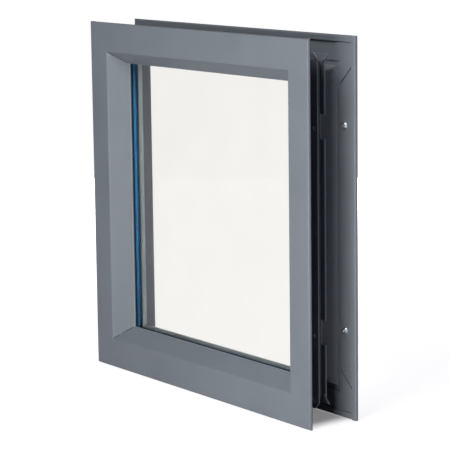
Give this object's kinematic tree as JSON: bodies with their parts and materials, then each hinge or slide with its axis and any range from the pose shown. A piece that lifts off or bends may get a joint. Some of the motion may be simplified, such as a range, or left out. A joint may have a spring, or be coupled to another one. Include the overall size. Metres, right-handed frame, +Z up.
{
  "type": "door vision panel",
  "caption": "Square door vision panel: two mitred, bevelled sheet-steel frame halves with hemmed edges that clamp a door leaf and hold a clear glass pane on glazing tape.",
  "frame": {"origin": "middle of the bottom edge, halfway between the front and rear show faces", "axes": "+X across the panel, +Y from the front show face to the rear show face, +Z up"},
  "size_m": [0.315, 0.0512, 0.315],
  "materials": {
    "grey_paint": "satin",
    "clear_glass": "clear polished",
    "blue_tape": "matt closed-cell foam",
    "zinc_screw": "bright zinc plate"
  },
  "bodies": {
    "root": {"front_rail_top": "grey_paint", "front_rail_bottom": "grey_paint", "front_stile_left": "grey_paint", "front_stile_right": "grey_paint", "rear_rail_top": "grey_paint", "rear_rail_bottom": "grey_paint", "rear_stile_left": "grey_paint", "rear_stile_right": "grey_paint", "glass_pane": "clear_glass", "front_tape_top": "blue_tape", "front_tape_bottom": "blue_tape", "front_tape_left": "blue_tape", "front_tape_right": "blue_tape", "rear_tape_top": "blue_tape", "rear_tape_bottom": "blue_tape", "rear_tape_left": "blue_tape", "rear_tape_right": "blue_tape", "front_corner_plate_top_left": "grey_paint", "front_corner_plate_top_right": "grey_paint", "front_corner_plate_bottom_left": "grey_paint", "front_corner_plate_bottom_right": "grey_paint", "rear_corner_plate_top_left": "grey_paint", "rear_corner_plate_top_right": "grey_paint", "rear_corner_plate_bottom_left": "grey_paint", "rear_corner_plate_bottom_right": "grey_paint", "screw_top_1": "zinc_screw", "screw_top_2": "zinc_screw", "screw_bottom_1": "zinc_screw", "screw_bottom_2": "zinc_screw", "screw_left_1": "zinc_screw", "screw_left_2": "zinc_screw", "screw_right_1": "zinc_screw", "screw_right_2": "zinc_screw"}
  },
  "joints": []
}
